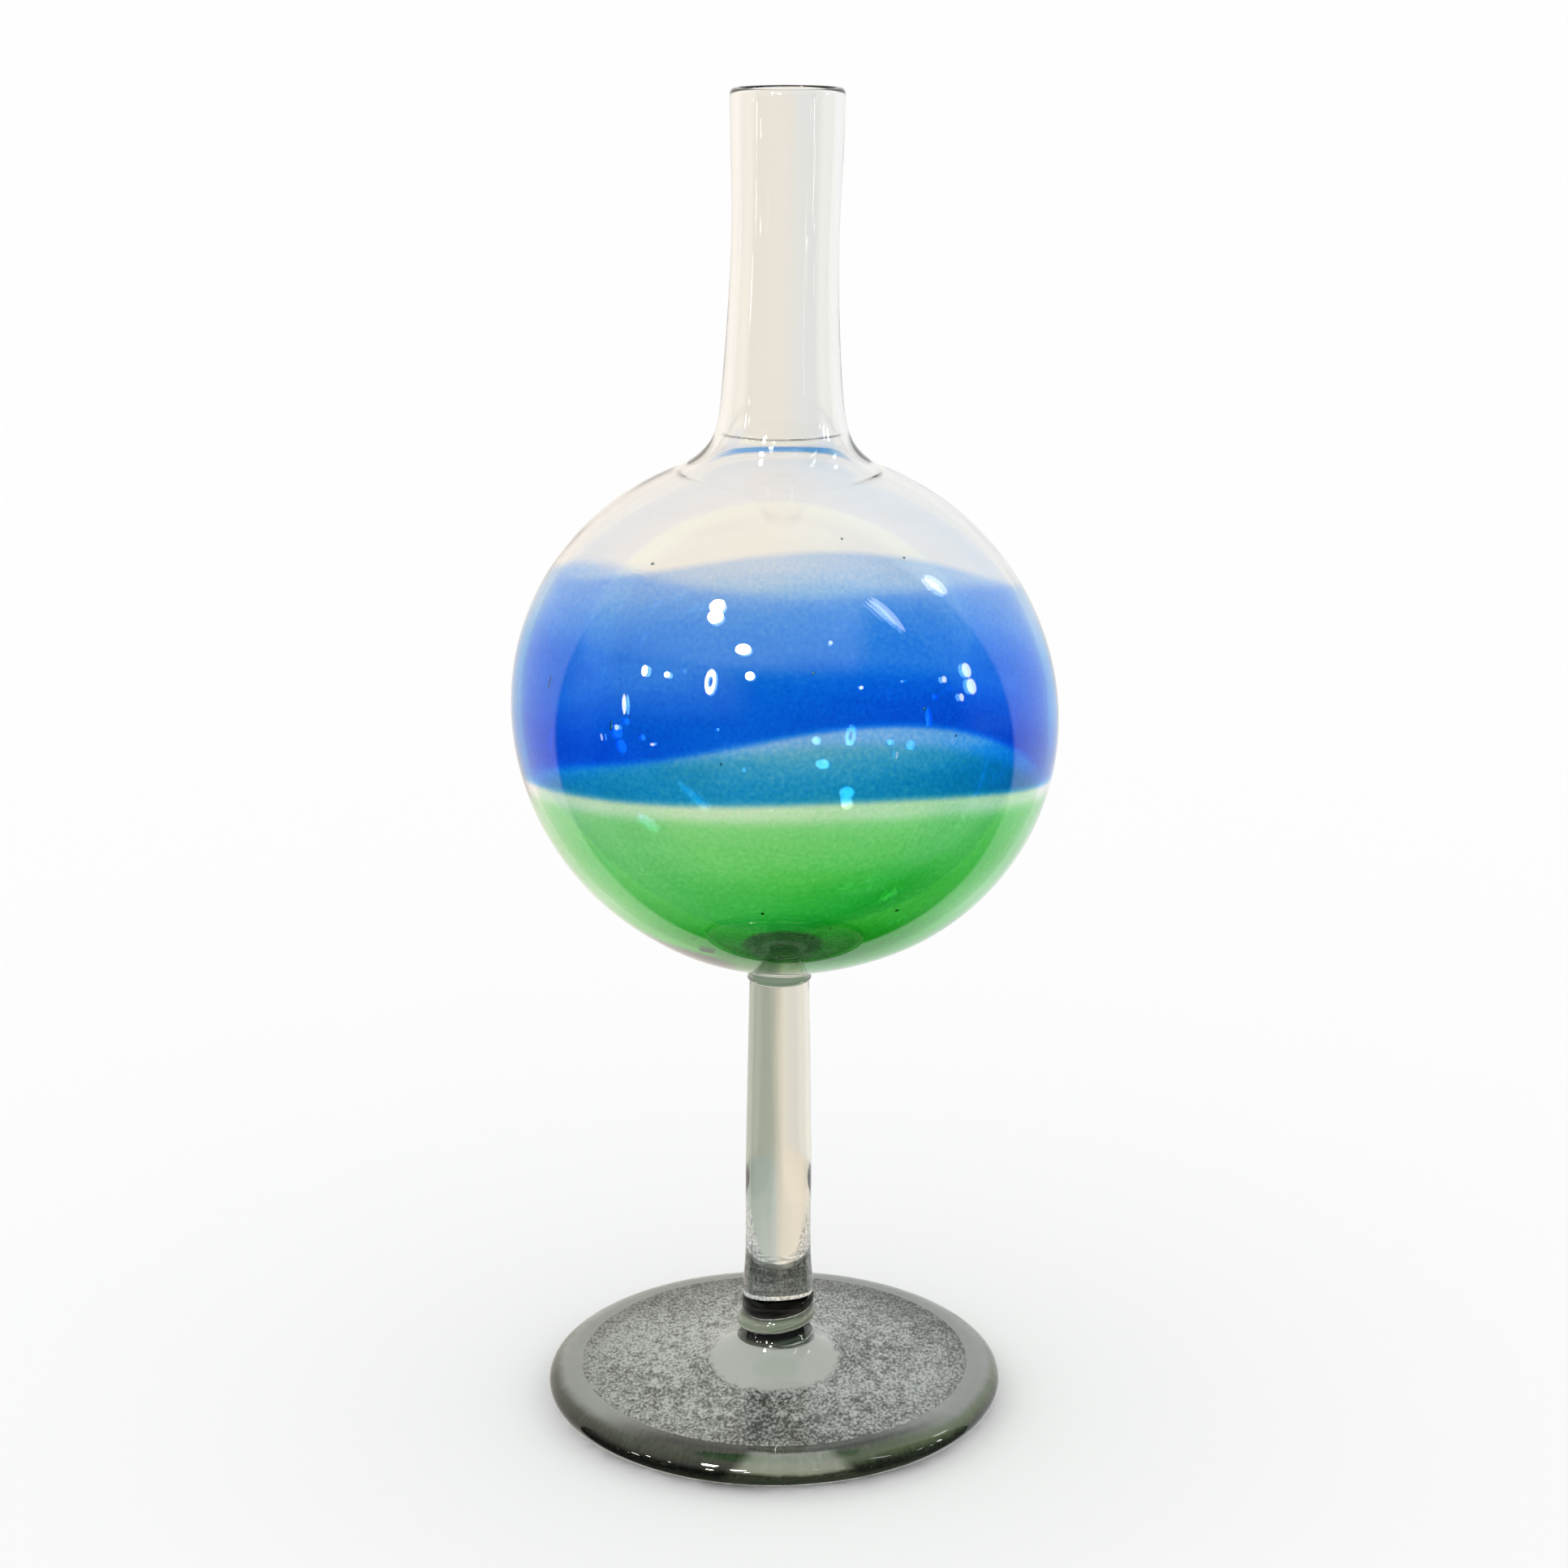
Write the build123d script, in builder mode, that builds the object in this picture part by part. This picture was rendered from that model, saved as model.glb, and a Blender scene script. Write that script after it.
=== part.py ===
"""Hand-blown stemmed glass vessel: a wavy-banded round bulb with a slender neck, on a stem and disc foot.

Everything is turned about the Z axis, in millimetres, with z = 0 on the table under the foot.
The bulb's wall is four rings of glass joined edge to edge: clear, blue, clear and green.
"""

import os
from math import acos, asin, atan, cos, degrees, pi, sin, sqrt

from build123d import *

# Foot: a disc with an elliptical nose, and a boss that rises to the knop
FOOT_THICKNESS = 7.25
FOOT_NOSE_REACH = 6.0
FOOT_FLAT_RADIUS = 43.4
FOOT_DISH_RADIUS = 30.0
FOOT_DISH_DEPTH = 1.2
FOOT_CROWN = 1.0
BOSS_TOP_RADIUS = 7.4
BOSS_FOOT_RADIUS = 19.0

# Knop: a flattened bead between the foot and the stem
KNOP_BOTTOM = 16.0
KNOP_TOP = 19.4
KNOP_RADIUS = 8.5
KNOP_SEAT_RADIUS = 7.3

# Stem: a drawn tube, open at the top and closed below by a long pointed end to its bore
STEM_TOP = 95.0
STEM_TOP_RADIUS = 6.3
STEM_SHOULDER = 85.0
STEM_SHOULDER_RADIUS = 6.55
STEM_BELLY_TOP = 53.0
STEM_BELLY_BOTTOM = 33.4
STEM_BELLY_RADIUS = 7.1
STEM_END_RADIUS = 7.8
STEM_END_ROUNDING = 1.2
STEM_WALL = 1.0
BORE_END = 29.5
BORE_POINT_LENGTH = 15.0
BORE_TIP_RADIUS = 2.6
BORE_TIP_TURN = 60

# Collar: a short button of glass that joins the stem to the bulb
COLLAR_TOP_RADIUS = 7.5
COLLAR_WAIST_RADIUS = 6.6
COLLAR_BEAD = 0.5

# Bulb: a slightly flattened sphere
BULB_CENTRE = 153.6
BULB_RADIUS = 56.65
BULB_HALF_HEIGHT = 54.56
BULB_WALL = 2.0
FLARE_RADIUS = 22.0
INNER_FLARE_RADIUS = 20.0

# Neck: a tube that widens into the shoulder, with a straight bore at the mouth
OVERALL_HEIGHT = 280.0
NECK_ROOT = 212.0
NECK_ROOT_RADIUS = 13.6
NECK_SWELL = 223.0
NECK_SWELL_RADIUS = 12.05
NECK_WAIST = 249.0
NECK_WAIST_RADIUS = 10.85
MOUTH_RADIUS = 11.45
MOUTH_BORE_RADIUS = 9.6
MOUTH_BORE_LENGTH = 24.0
LIP_OUTER_ROUNDING = 1.2
LIP_INNER_ROUNDING = 0.5
NECK_WALL = 1.7
ROOT_BORE_RADIUS = 11.75
ROOT_LEAN = 0.3

# Where each wavy seam runs, as heights above the bulb's centre. A seam is a level circle that is tilted
# to the right and to the rear, bent once (saddle, twist) and rippled three times round (ripple, swirl).
BLUE_TOP = {"level": 28.5, "right": -0.8, "rear": -5.9, "twist": 1.6, "ripple": -0.8, "swirl": -1.5}
BLUE_BOTTOM = {"level": -12.3, "right": 1.6, "rear": -7.2, "saddle": -0.45, "twist": 1.7, "ripple": -1.2}
GREEN_TOP = {"level": -15.6, "right": 0.8, "rear": -6.6, "saddle": -0.45, "twist": 1.0, "ripple": -0.6}
SEAM_POINTS = 36
SEAM_INNER_SCALE = 0.93
SEAM_OUTER_SCALE = 1.05


def bulb_height(radius, inset=0.0):
    """Height above the bulb's centre of its wall, inset from the outside, at a radius from the axis."""
    return (BULB_HALF_HEIGHT - inset) * sqrt(1 - (radius / (BULB_RADIUS - inset)) ** 2)


def bulb_slope(radius, inset=0.0):
    """How steeply the bulb's wall falls outwards at a radius from the axis."""
    flatness = (BULB_HALF_HEIGHT - inset) / (BULB_RADIUS - inset)
    return flatness**2 * radius / bulb_height(radius, inset)


def bottom_cap(inset=0.0):
    """The round end of the bulb over the collar, from the axis outwards: an arc that runs on smoothly
    into the rest of the wall, inset from the outside."""
    lean = atan(bulb_slope(COLLAR_TOP_RADIUS, inset))
    radius = COLLAR_TOP_RADIUS / sin(lean)
    centre = BULB_CENTRE - bulb_height(COLLAR_TOP_RADIUS, inset) + radius * cos(lean)
    return CenterArc((0, centre), radius, -90, degrees(lean))


def bulb_side(inset, top_radius):
    """The bulb's wall in section, from the bottom cap up to where it reaches a radius near the top."""
    wall_radius = BULB_RADIUS - inset
    bottom = degrees(acos(COLLAR_TOP_RADIUS / wall_radius))
    top = degrees(acos(top_radius / wall_radius))
    return EllipticalCenterArc(
        (0, BULB_CENTRE), wall_radius, BULB_HALF_HEIGHT - inset, start_angle=-bottom, arc_size=bottom + top
    )


def seam_height(angle, level, right=0.0, rear=0.0, saddle=0.0, twist=0.0, ripple=0.0, swirl=0.0):
    """Height of a wavy seam above the bulb's centre, at an angle round the axis."""
    tilt = right * cos(angle) + rear * sin(angle)
    bend = saddle * cos(2 * angle) + twist * sin(2 * angle)
    wave = ripple * cos(3 * angle) + swirl * sin(3 * angle)
    return level + tilt + bend + wave


def seam_loop(waves, scale):
    """A closed wavy curve on the middle of the bulb's wall, scaled about the bulb's centre."""
    middle_radius = BULB_RADIUS - BULB_WALL / 2
    middle_half_height = BULB_HALF_HEIGHT - BULB_WALL / 2
    points = []
    for step in range(SEAM_POINTS):
        angle = 2 * pi * step / SEAM_POINTS
        height = seam_height(angle, **waves)
        radius = middle_radius * sqrt(1 - (height / middle_half_height) ** 2)
        x, y = radius * cos(angle), radius * sin(angle)
        points.append((x * scale, y * scale, BULB_CENTRE + height * scale))
    with BuildLine(mode=Mode.PRIVATE) as loop:
        Spline(*points, periodic=True)
    return loop.edge()


def seam_face(waves):
    """The joint face of a wavy seam. It stands square to the wall: it points at the bulb's centre."""
    inner_loop = seam_loop(waves, SEAM_INNER_SCALE)
    outer_loop = seam_loop(waves, SEAM_OUTER_SCALE)
    return Face.make_surface_from_curves(inner_loop, outer_loop)


# Foot
with BuildPart() as foot:
    with BuildSketch(Plane.XZ):
        with BuildLine():
            nose_height = FOOT_THICKNESS / 2
            dish_curve = (FOOT_DISH_RADIUS**2 + FOOT_DISH_DEPTH**2) / (2 * FOOT_DISH_DEPTH)
            dish_centre = (0, FOOT_DISH_DEPTH - dish_curve)
            dish_sweep = degrees(asin(FOOT_DISH_RADIUS / dish_curve))
            dish = CenterArc(dish_centre, dish_curve, 90, -dish_sweep)
            ring = Line(dish @ 1, (FOOT_FLAT_RADIUS, 0))
            nose = EllipticalCenterArc(
                (FOOT_FLAT_RADIUS, nose_height), FOOT_NOSE_REACH, nose_height, start_angle=-90, arc_size=180
            )
            boss_foot = (BOSS_FOOT_RADIUS, FOOT_THICKNESS + FOOT_CROWN)
            crown = Line(nose @ 1, boss_foot)
            flare = Spline(
                boss_foot,
                (BOSS_TOP_RADIUS, KNOP_BOTTOM),
                tangents=[(-1, 0.04), (-0.15, 1)],
                tangent_scalars=[1, 0.8],
            )
            top = Line(flare @ 1, (0, KNOP_BOTTOM))
            Line(top @ 1, dish @ 0)
        make_face()
    revolve(axis=Axis.Z)
foot.part.label = "foot"

# Knop
with BuildPart() as foot_knop:
    with BuildSketch(Plane.XZ):
        with BuildLine():
            middle = (KNOP_BOTTOM + KNOP_TOP) / 2
            base = Line((0, KNOP_BOTTOM), (KNOP_SEAT_RADIUS, KNOP_BOTTOM))
            side = ThreePointArc(base @ 1, (KNOP_RADIUS, middle), (KNOP_SEAT_RADIUS, KNOP_TOP))
            Polyline(side @ 1, (0, KNOP_TOP), base @ 0)
        make_face()
    revolve(axis=Axis.Z)
foot_knop.part.label = "foot_knop"

# Stem: the outside first, then the bore with its pointed end
with BuildPart() as stem:
    with BuildSketch(Plane.XZ):
        with BuildLine():
            end_radius = STEM_END_RADIUS - STEM_END_ROUNDING / 2
            outside = Spline(
                (STEM_TOP_RADIUS, STEM_TOP),
                (STEM_SHOULDER_RADIUS, STEM_SHOULDER),
                (STEM_BELLY_RADIUS, STEM_BELLY_TOP),
                (STEM_BELLY_RADIUS, STEM_BELLY_BOTTOM),
                (STEM_END_RADIUS, KNOP_TOP + STEM_END_ROUNDING * 2),
                (end_radius, KNOP_TOP),
            )
            Polyline(outside @ 1, (0, KNOP_TOP), (0, STEM_TOP), outside @ 0)
        make_face()
    revolve(axis=Axis.Z)
    with BuildSketch(Plane.XZ):
        with BuildLine():
            bore_radius = STEM_BELLY_RADIUS - STEM_WALL
            bore_side = Spline(
                (STEM_TOP_RADIUS - STEM_WALL, STEM_TOP),
                (STEM_SHOULDER_RADIUS - STEM_WALL, STEM_SHOULDER),
                (bore_radius, BORE_END + BORE_POINT_LENGTH),
                tangents=[(0.01, -1), (0, -1)],
            )
            tip = CenterArc((0, BORE_END + BORE_TIP_RADIUS), BORE_TIP_RADIUS, -90, BORE_TIP_TURN)
            Spline(bore_side @ 1, tip @ 1, tangents=[(0, -1), -(tip % 1)], tangent_scalars=[1.2, 0.8])
            Polyline(tip @ 0, (0, STEM_TOP), bore_side @ 0)
        make_face()
    revolve(axis=Axis.Z, mode=Mode.SUBTRACT)
stem.part.label = "stem"

# Collar: it fills the space between the flat top of the stem and the round bottom of the bulb
with BuildPart() as bulb_collar:
    with BuildSketch(Plane.XZ):
        with BuildLine():
            bead_radius = STEM_TOP_RADIUS + COLLAR_BEAD
            base = Line((0, STEM_TOP), (STEM_TOP_RADIUS, STEM_TOP))
            bead_belly = (bead_radius, STEM_TOP + COLLAR_BEAD)
            bead_top = (COLLAR_WAIST_RADIUS, STEM_TOP + 2 * COLLAR_BEAD)
            bead = ThreePointArc(base @ 1, bead_belly, bead_top)
            seat = bottom_cap()
            Spline(bead @ 1, seat @ 1, tangents=[(0, 1), (1, 0.6)])
            Line(seat @ 0, base @ 0)
        make_face()
    revolve(axis=Axis.Z)
bulb_collar.part.label = "bulb_collar"

# Bulb: the whole shell with its shoulder, cut into four rings at the wavy seams
with BuildPart() as bulb:
    with BuildSketch(Plane.XZ):
        with BuildLine():
            outer_cap = bottom_cap()
            outside = bulb_side(0, FLARE_RADIUS)
            flare = Spline(
                outside @ 1,
                (NECK_ROOT_RADIUS, NECK_ROOT),
                tangents=[(-1, bulb_slope(FLARE_RADIUS)), (-ROOT_LEAN, 1)],
            )
            root = Line(flare @ 1, (ROOT_BORE_RADIUS, NECK_ROOT))
            inside = bulb_side(BULB_WALL, INNER_FLARE_RADIUS)
            inner_cap = bottom_cap(BULB_WALL)
            Spline(
                root @ 1,
                inside @ 1,
                tangents=[(ROOT_LEAN, -1), (1, -bulb_slope(INNER_FLARE_RADIUS, BULB_WALL))],
            )
            Line(inner_cap @ 0, outer_cap @ 0)
        make_face()
    revolve(axis=Axis.Z)
    for seam in (BLUE_TOP, BLUE_BOTTOM, GREEN_TOP):
        split(bisect_by=seam_face(seam), keep=Keep.ALL)

rings = bulb.solids().sort_by(Axis.Z)

with BuildPart() as green_cup:
    add(rings[0])
green_cup.part.label = "green_cup"

with BuildPart() as clear_band:
    add(rings[1])
clear_band.part.label = "clear_band"

with BuildPart() as blue_band:
    add(rings[2])
blue_band.part.label = "blue_band"

with BuildPart() as shoulder:
    add(rings[3])
shoulder.part.label = "shoulder"

# Neck
with BuildPart() as neck:
    with BuildSketch(Plane.XZ) as neck_section:
        with BuildLine():
            bore_bottom = OVERALL_HEIGHT - LIP_INNER_ROUNDING - MOUTH_BORE_LENGTH
            outside = Spline(
                (NECK_ROOT_RADIUS, NECK_ROOT),
                (NECK_SWELL_RADIUS, NECK_SWELL),
                (NECK_WAIST_RADIUS, NECK_WAIST),
                (MOUTH_RADIUS, OVERALL_HEIGHT),
                tangents=[(-ROOT_LEAN, 1), (0, 1)],
            )
            Polyline(outside @ 1, (MOUTH_BORE_RADIUS, OVERALL_HEIGHT), (MOUTH_BORE_RADIUS, bore_bottom))
            taper = Spline(
                (MOUTH_BORE_RADIUS, bore_bottom),
                (NECK_SWELL_RADIUS - NECK_WALL, NECK_SWELL),
                (ROOT_BORE_RADIUS, NECK_ROOT),
                tangents=[(0, -1), (ROOT_LEAN, -1)],
            )
            Line(taper @ 1, outside @ 0)
        make_face()
        fillet(neck_section.vertices().group_by(Axis.Y)[-1].sort_by(Axis.X)[-1], LIP_OUTER_ROUNDING)
        fillet(neck_section.vertices().group_by(Axis.Y)[-1].sort_by(Axis.X)[0], LIP_INNER_ROUNDING)
    revolve(axis=Axis.Z)
neck.part.label = "neck"

os.makedirs("parts", exist_ok=True)
export_step(foot.part, "parts/foot.step")
export_step(foot_knop.part, "parts/foot_knop.step")
export_step(stem.part, "parts/stem.step")
export_step(bulb_collar.part, "parts/bulb_collar.step")
export_step(green_cup.part, "parts/green_cup.step")
export_step(clear_band.part, "parts/clear_band.step")
export_step(blue_band.part, "parts/blue_band.step")
export_step(shoulder.part, "parts/shoulder.step")
export_step(neck.part, "parts/neck.step")
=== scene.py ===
"""Studio scene of the stemmed glass vessel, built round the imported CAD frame.

Every piece of glass is turned about the Z axis as a fine closed mesh that takes the place of its CAD node.
Lengths in this file are millimetres until placed() turns them into metres.
"""

from math import acos, atan2, cos, hypot, pi, radians, sin, sqrt

import bmesh
import bpy
from mathutils import Matrix, Quaternion, Vector

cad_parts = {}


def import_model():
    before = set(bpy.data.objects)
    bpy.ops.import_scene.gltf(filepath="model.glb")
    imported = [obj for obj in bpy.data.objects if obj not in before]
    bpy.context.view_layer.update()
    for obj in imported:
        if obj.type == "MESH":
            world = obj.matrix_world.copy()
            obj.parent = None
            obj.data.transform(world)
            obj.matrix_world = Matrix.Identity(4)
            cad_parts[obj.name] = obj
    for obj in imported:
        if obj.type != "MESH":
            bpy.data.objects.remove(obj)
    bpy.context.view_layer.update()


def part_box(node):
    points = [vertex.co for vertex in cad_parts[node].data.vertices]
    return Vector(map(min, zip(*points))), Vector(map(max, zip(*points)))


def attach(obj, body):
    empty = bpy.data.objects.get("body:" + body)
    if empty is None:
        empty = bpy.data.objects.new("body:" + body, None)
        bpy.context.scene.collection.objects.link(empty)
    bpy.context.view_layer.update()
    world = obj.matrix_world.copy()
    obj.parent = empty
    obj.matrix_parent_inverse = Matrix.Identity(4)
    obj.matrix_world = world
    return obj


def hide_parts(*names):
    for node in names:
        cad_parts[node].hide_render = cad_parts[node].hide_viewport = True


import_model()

MM = 0.001
SEGMENTS = 224
GLASS_IOR = 1.5


def level(node, end):
    """The lowest (0) or highest (1) height of a CAD node, in millimetres."""
    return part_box(node)[end][2] / MM


def reach(node):
    """The outer radius of a CAD node, in millimetres."""
    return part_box(node)[1][0] / MM


# Bulb: a slightly flattened sphere, whose centre lies half-way up the blue band's widest circle
BULB_RADIUS = 56.65
BULB_HALF_HEIGHT = 54.56
BULB_CENTRE = 153.6
BULB_WALL = 2.0
FLARE_RADIUS = 22.0
INNER_FLARE_RADIUS = 20.0

# Neck
TOP = level("neck", 1)
NECK_ROOT = level("neck", 0)
NECK_ROOT_RADIUS = reach("neck")
NECK_SWELL = (12.05, 223.0)
NECK_WAIST = (10.85, 249.0)
NECK_WALL = 1.7
MOUTH_RADIUS = 11.45
MOUTH_BORE_RADIUS = 9.6
MOUTH_BORE_BOTTOM = 255.5
LIP_OUTER_ROUNDING = 1.2
LIP_INNER_ROUNDING = 0.5
ROOT_BORE_RADIUS = 11.75
ROOT_LEAN = 0.3

# Stem, collar and knop
STEM_TOP = level("stem", 1)
KNOP_TOP = level("foot_knop", 1)
KNOP_BOTTOM = level("foot_knop", 0)
KNOP_RADIUS = reach("foot_knop")
KNOP_SEAT_RADIUS = 7.2
STEM_TOP_RADIUS = 6.3
STEM_SHOULDER_RADIUS = 6.55
STEM_BELLY_RADIUS = 7.1
STEM_END_RADIUS = 7.8
STEM_WALL = 1.0
BORE_END = 29.5
BORE_POINT_LENGTH = 15.0
BORE_POINT_TOP = BORE_END + BORE_POINT_LENGTH
BORE_MELT_LENGTH = 14.0
COLLAR_TOP_RADIUS = reach("bulb_collar")
COLLAR_WAIST_RADIUS = 6.6
COLLAR_BEAD = 0.5

# Foot
FOOT_THICKNESS = 7.25
FOOT_RADIUS = reach("foot")
FOOT_NOSE_REACH = 6.0
FOOT_DISH_RADIUS = 30.0
FOOT_DISH_DEPTH = 1.2
FOOT_CROWN = 1.0
BOSS_FOOT_RADIUS = 19.0
CREASE_BOTTOM = 13.4
FOOT_AXIS = -2.2
PALE_DISC_RADIUS = 15.5

# Wavy seams, as heights above the bulb's centre
BLUE_TOP = {"level": 28.5, "right": -0.8, "rear": -5.9, "twist": 1.6, "ripple": -0.8, "swirl": -1.5}
BLUE_BOTTOM = {"level": -12.3, "right": 1.6, "rear": -7.2, "saddle": -0.45, "twist": 1.7, "ripple": -1.2}
GREEN_TOP = {"level": -15.6, "right": 0.8, "rear": -6.6, "saddle": -0.45, "twist": 1.0, "ripple": -0.6}

# Hand-made unevenness: how far the axis wanders sideways at some heights, and how far the knop tilts
WANDER = ((0, -2.2), (14, -2.0), (22, -1.3), (96, -1.0), (110, 1.2), (200, -0.9), (214, -0.4), (280, 0.75))
KNOP_TILT = 0.1

# Seeds, the tiny bubbles in blown glass: sideways place and height from the bulb's centre, and three radii
GREEN_SEEDS = (((-16.5, -41.5), (1.9, 0.6, 0.8)), ((-5.2, -29), (0.35, 0.3, 0.3)))
GREEN_SEEDS += (((-19, -38), (0.3, 0.25, 0.3)), ((-6.6, -40), (0.3, 0.3, 0.3)))
GREEN_SEEDS += (((8, -33), (0.25, 0.2, 0.25)), ((21, -30), (0.5, 0.25, 0.25)))
BLUE_SEEDS = (((-45.5, 13), (0.25, 0.3, 1.4)), ((-33, 8), (0.35, 0.35, 1.0)), ((6, 20), (0.3, 0.25, 0.3)))
BLUE_SEEDS += (((-12, 3), (0.25, 0.25, 0.3)), ((27, 12), (0.3, 0.3, 0.4)), ((33, 6), (0.25, 0.3, 0.25)))
SHOULDER_SEEDS = (((-24.5, 37), (0.4, 0.3, 0.3)), ((12, 42), (0.25, 0.25, 0.3)), ((24, 38), (0.3, 0.25, 0.3)))


def smooth(value):
    """A soft step from 0 to 1."""
    value = min(max(value, 0.0), 1.0)
    return value * value * (3 - 2 * value)


def mix(start, end, share):
    return start + (end - start) * share


def seam_height(angle, level, right=0.0, rear=0.0, saddle=0.0, twist=0.0, ripple=0.0, swirl=0.0):
    """Height of a wavy seam above the bulb's centre, at an angle round the axis."""
    tilt = right * cos(angle) + rear * sin(angle)
    bend = saddle * cos(2 * angle) + twist * sin(2 * angle)
    wave = ripple * cos(3 * angle) + swirl * sin(3 * angle)
    return level + tilt + bend + wave


def wander(height):
    """Sideways shift of the vessel's axis at a height."""
    for (low, start), (high, end) in zip(WANDER, WANDER[1:]):
        if height <= high:
            return mix(start, end, smooth((height - low) / (high - low)))
    return WANDER[-1][1]


def placed(x, y, z):
    """A turned point after the unevenness of hand work, in metres."""
    tilt_share = smooth((z - 11) / 4) * (1 - smooth((z - 19) / 5))
    return Vector((x + wander(z), y, z + KNOP_TILT * tilt_share * x)) * MM


# Section curves, each a list of (radius, height) points

def spline(points, start, end, steps=24):
    """A smooth curve through points, with given directions at its two ends."""
    directions = [Vector(start).normalized()]
    for before, after in zip(points, points[2:]):
        directions.append((Vector(after) - Vector(before)).normalized())
    directions.append(Vector(end).normalized())
    curve = []
    for index in range(len(points) - 1):
        first, last = Vector(points[index]), Vector(points[index + 1])
        length = (last - first).length
        for step in range(steps):
            share = step / steps
            square, cube = share**2, share**3
            curve.append(
                first * (2 * cube - 3 * square + 1)
                + directions[index] * length * (cube - 2 * square + share)
                + last * (3 * square - 2 * cube)
                + directions[index + 1] * length * (cube - square)
            )
    curve.append(Vector(points[-1]))
    return [tuple(point) for point in curve]


def arc(centre, radii, start, end, steps):
    """Part of an ellipse, from one angle to another."""
    angles = [mix(start, end, step / steps) for step in range(steps + 1)]
    return [(centre[0] + radii[0] * cos(angle), centre[1] + radii[1] * sin(angle)) for angle in angles]


def line(start, end, steps):
    """Points evenly spaced from one point to another."""
    shares = [step / steps for step in range(steps + 1)]
    return [(mix(start[0], end[0], share), mix(start[1], end[1], share)) for share in shares]


def joined(*curves):
    """One curve from several that meet end to end."""
    points = list(curves[0])
    for curve in curves[1:]:
        points.extend(curve[1:])
    return points


# Mesh building

def ring(radius, height):
    """A level circle of points, or a single point on the axis."""
    if radius < 1e-6:
        return [(0.0, 0.0, height)]
    return [
        (radius * cos(2 * pi * step / SEGMENTS), radius * sin(2 * pi * step / SEGMENTS), height)
        for step in range(SEGMENTS)
    ]


def seam_fade(distance, width):
    """How far a band's colour has set in at a distance inside its seam, in millimetres."""
    return smooth(distance / width + 0.5)


def blue_amount(angle, height):
    """How much blue the glass holds: soft at the edges, and deeper the lower it lies in its band."""
    below_top = seam_height(angle, **BLUE_TOP) - height
    above_bottom = height - seam_height(angle, **BLUE_BOTTOM)
    right, rear = cos(angle), sin(angle)
    depth = 0.22 + 0.2 * smooth((below_top - 1) / 9)
    depth += (0.37 + 0.15 * right**2) * smooth((below_top - 6) / 14)
    depth += (0.85 + 0.35 * right) * smooth((below_top - 24) / 13)
    depth += 0.12 * abs(right) * (1 - smooth(below_top / 12))
    depth *= 1 + 0.17 * rear
    depth += 0.14 * max(-rear, 0) * (1 - smooth((below_top - 4) / 14))
    return depth * seam_fade(below_top, 2.2) * seam_fade(above_bottom, 2.2)


def green_amount(angle, height, radius):
    """How much green the glass holds: thin at the rear, deepest in a pool over the collar."""
    if height > 0:
        return 0.0
    below_top = seam_height(angle, **GREEN_TOP) - height
    right, rear = cos(angle), sin(angle)
    depth = 0.68 + 0.35 * smooth(below_top / 16) + 3.4 * smooth((below_top - 20) / 20)
    depth *= (1 + 0.12 * right) * (1 - 0.35 * rear * smooth(1.5 - below_top / 16))
    pool_edge = 1.4
    pool = 28 * smooth((COLLAR_TOP_RADIUS + pool_edge - radius) / pool_edge)
    pool += 1.6 * smooth((20 - radius) / 12)
    return (depth + pool) * seam_fade(below_top, 3.2)


def front_right_green(x, y, height):
    """Deeper green low on the front right of the bulb, past a slanting edge."""
    past_edge = 0.5 * (x - 20) - 0.87 * (height + 22)
    return 0.35 * smooth(past_edge / 2.5) * smooth(-y / 12) * (1 - smooth((past_edge - 8) / 14))


def add_seed(mesh, place, size):
    """A tiny bubble inside the bulb's wall, from its sideways place and height, and its three radii."""
    x, height = place
    inset = BULB_WALL / 2
    level_radius = (BULB_RADIUS - inset) * sqrt(1 - (height / (BULB_HALF_HEIGHT - inset)) ** 2)
    y = -sqrt(level_radius**2 - x**2)
    outward = Vector((x, y, height)).normalized()
    turn = outward.to_track_quat("Y", "Z").to_matrix().to_4x4()
    centre = Matrix.Translation(placed(x, y, BULB_CENTRE + height))
    where = centre @ turn @ Matrix.Diagonal((*size, 1 / MM)) * MM
    where[3][3] = 1
    before = set(mesh.faces)
    bmesh.ops.create_icosphere(mesh, subdivisions=3, radius=1, matrix=where)
    shell = [face for face in mesh.faces if face not in before]
    bmesh.ops.reverse_faces(mesh, faces=shell)
    for face in shell:
        face.smooth = True


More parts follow.
